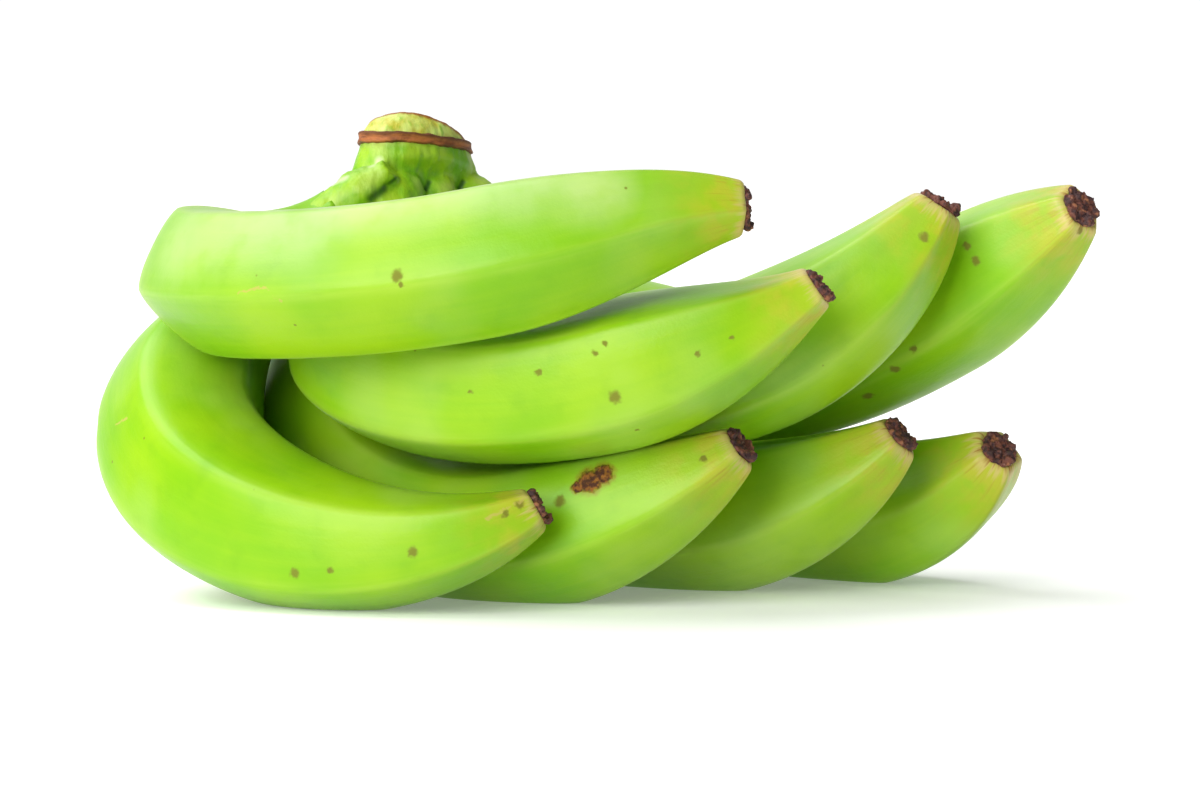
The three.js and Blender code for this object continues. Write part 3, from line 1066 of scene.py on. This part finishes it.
def scar_piece():
    """The raised band where the bract grew: a thin rough strip round the crown."""
    rings = []
    heights = []
    for height, grow in SCAR_PROFILE:
        section = {key: low + (SCAR_HIGH[key] - low) * height for key, low in SCAR_LOW.items()}
        ring = crown_ring(section, SCAR_SIDES, grow - SCAR_SINK)
        around = ring * np.array([1.0, 1.0, 0.0])
        grit = SCAR_GRIT * (1.0 if height < SCAR_FOOT_BELOW else SCAR_TOP_GRIT)
        lift = fractal_noise(around, SCAR_WAVE_SIZE, detail=2) * SCAR_WAVE
        lift = lift + fractal_noise(around, SCAR_GRIT_SIZE, detail=3) * grit
        outward = unit(ring - ring.mean(axis=0))
        rings.append(ring + UP * lift[:, None] + outward * (lift * SCAR_OUTWARD)[:, None])
        heights += [height] * SCAR_SIDES
    faces = tube_faces(len(rings), SCAR_SIDES)
    last = (len(rings) - 1) * SCAR_SIDES
    for side in range(SCAR_SIDES):
        ahead = (side + 1) % SCAR_SIDES
        faces.append((side, last + side, last + ahead, ahead))
    skin = inside_box(np.concatenate(rings))
    piece = make_object("crown_scar", skin, faces, [scar_material()], {"height": heights})
    knife_cut(piece)
    belong(piece, "crown", "crown")


# Camera, light and ground

def camera_axes():
    """The directions back to the camera, to its right and up, as seen through it."""
    back = Vector((0, -math.cos(CAMERA_ELEVATION), math.sin(CAMERA_ELEVATION)))
    right = Vector((1, 0, 0))
    return back, right, back.cross(right)


def make_camera():
    back, _, _ = camera_axes()
    data = bpy.data.cameras.new("camera")
    data.lens = CAMERA_LENS
    data.sensor_width = SENSOR_WIDTH
    data.clip_end = CAMERA_REACH
    camera = add_to_scene("camera", data)
    camera.location = (Vector(CAMERA_AIM) + back * CAMERA_DISTANCE) * MM
    camera.rotation_mode = "QUATERNION"
    camera.rotation_quaternion = (-back).to_track_quat("-Z", "Y")
    bpy.context.scene.camera = camera
    return camera


def tree_of(piece):
    """A search tree for rays that meet the piece."""
    return BVHTree.FromPolygons([v.co for v in piece.data.vertices],
                                [p.vertices for p in piece.data.polygons])


def find_on_skin(pixel, trees, camera):
    """The point of the skin behind a pixel of the photograph, in millimetres, or None."""
    back, right, up = camera_axes()
    x = (pixel[0] - PHOTO_SIZE[0] / 2) / FOCAL_PIXELS
    y = (PHOTO_SIZE[1] / 2 - pixel[1]) / FOCAL_PIXELS
    ray = (right * x + up * y - back).normalized()
    hits = [tree.ray_cast(camera.location, ray) for tree in trees]
    hits = [hit for hit in hits if hit[0] is not None]
    if not hits:
        return None
    return min(hits, key=lambda hit: hit[3])[0] / MM


def placed_marks(marks, trees, camera):
    """Marks with their places on the skin, and their radii in millimetres."""
    pixel_size = CAMERA_DISTANCE / FOCAL_PIXELS
    placed = []
    for mark in marks:
        points = [find_on_skin(pixel, trees, camera) for pixel in mark["pixels"]]
        if all(point is not None for point in points):
            placed.append(dict(points=points, radius=mark["radius"] * pixel_size))
    return placed


def soft_sun(name, toward, degrees, strength):
    """A wide soft light from far away, which shines toward a direction."""
    data = bpy.data.lights.new(name, "SUN")
    data.angle = math.radians(degrees)
    data.energy = strength
    lamp = add_to_scene(name, data)
    lamp.rotation_mode = "QUATERNION"
    lamp.rotation_quaternion = Vector(toward).to_track_quat("-Z", "Y")


def make_world():
    world = bpy.data.worlds.new("studio")
    world.use_nodes = True
    tree = world.node_tree
    direction = tree.nodes.new("ShaderNodeTexCoord")
    split = tree.nodes.new("ShaderNodeSeparateXYZ")
    ramp = tree.nodes.new("ShaderNodeMapRange")
    ramp.interpolation_type = "SMOOTHSTEP"
    for key, value in WORLD_RAMP.items():
        ramp.inputs[key].default_value = value
    background = tree.nodes["Background"]
    background.inputs["Color"].default_value = WHITE
    tree.links.new(direction.outputs["Generated"], split.inputs[0])
    tree.links.new(split.outputs["Y"], ramp.inputs["Value"])
    tree.links.new(ramp.outputs[0], background.inputs["Strength"])
    bpy.context.scene.world = world


def make_studio():
    make_world()
    for sun in SUNS:
        soft_sun(*sun)
    bpy.context.scene.view_settings.view_transform = "Standard"
    reach = FLOOR_REACH
    corners = [(-reach, -reach, 0), (reach, -reach, 0), (reach, reach, 0), (-reach, reach, 0)]
    floor = make_object("floor", corners, [(0, 1, 2, 3)], [floor_material()])


def build():
    camera = make_camera()
    make_studio()
    skins = [finger_piece(finger, seed, None) for seed, finger in enumerate(FINGERS, 1)]
    trees = [tree_of(skin) for skin in skins]
    peel = peel_material(*(placed_marks(marks, trees, camera)
                           for marks in (SPOTS, SCABS, SCRATCHES, PAINTED_SHEEN_STROKES)))
    for skin in skins:
        skin.data.materials[0] = peel
    dry = flower_material()
    for seed, finger in enumerate(FINGERS, 1):
        flower_piece(finger, seed, dry)
    cut_face_piece(crown_piece(camera))
    scar_piece()


build()
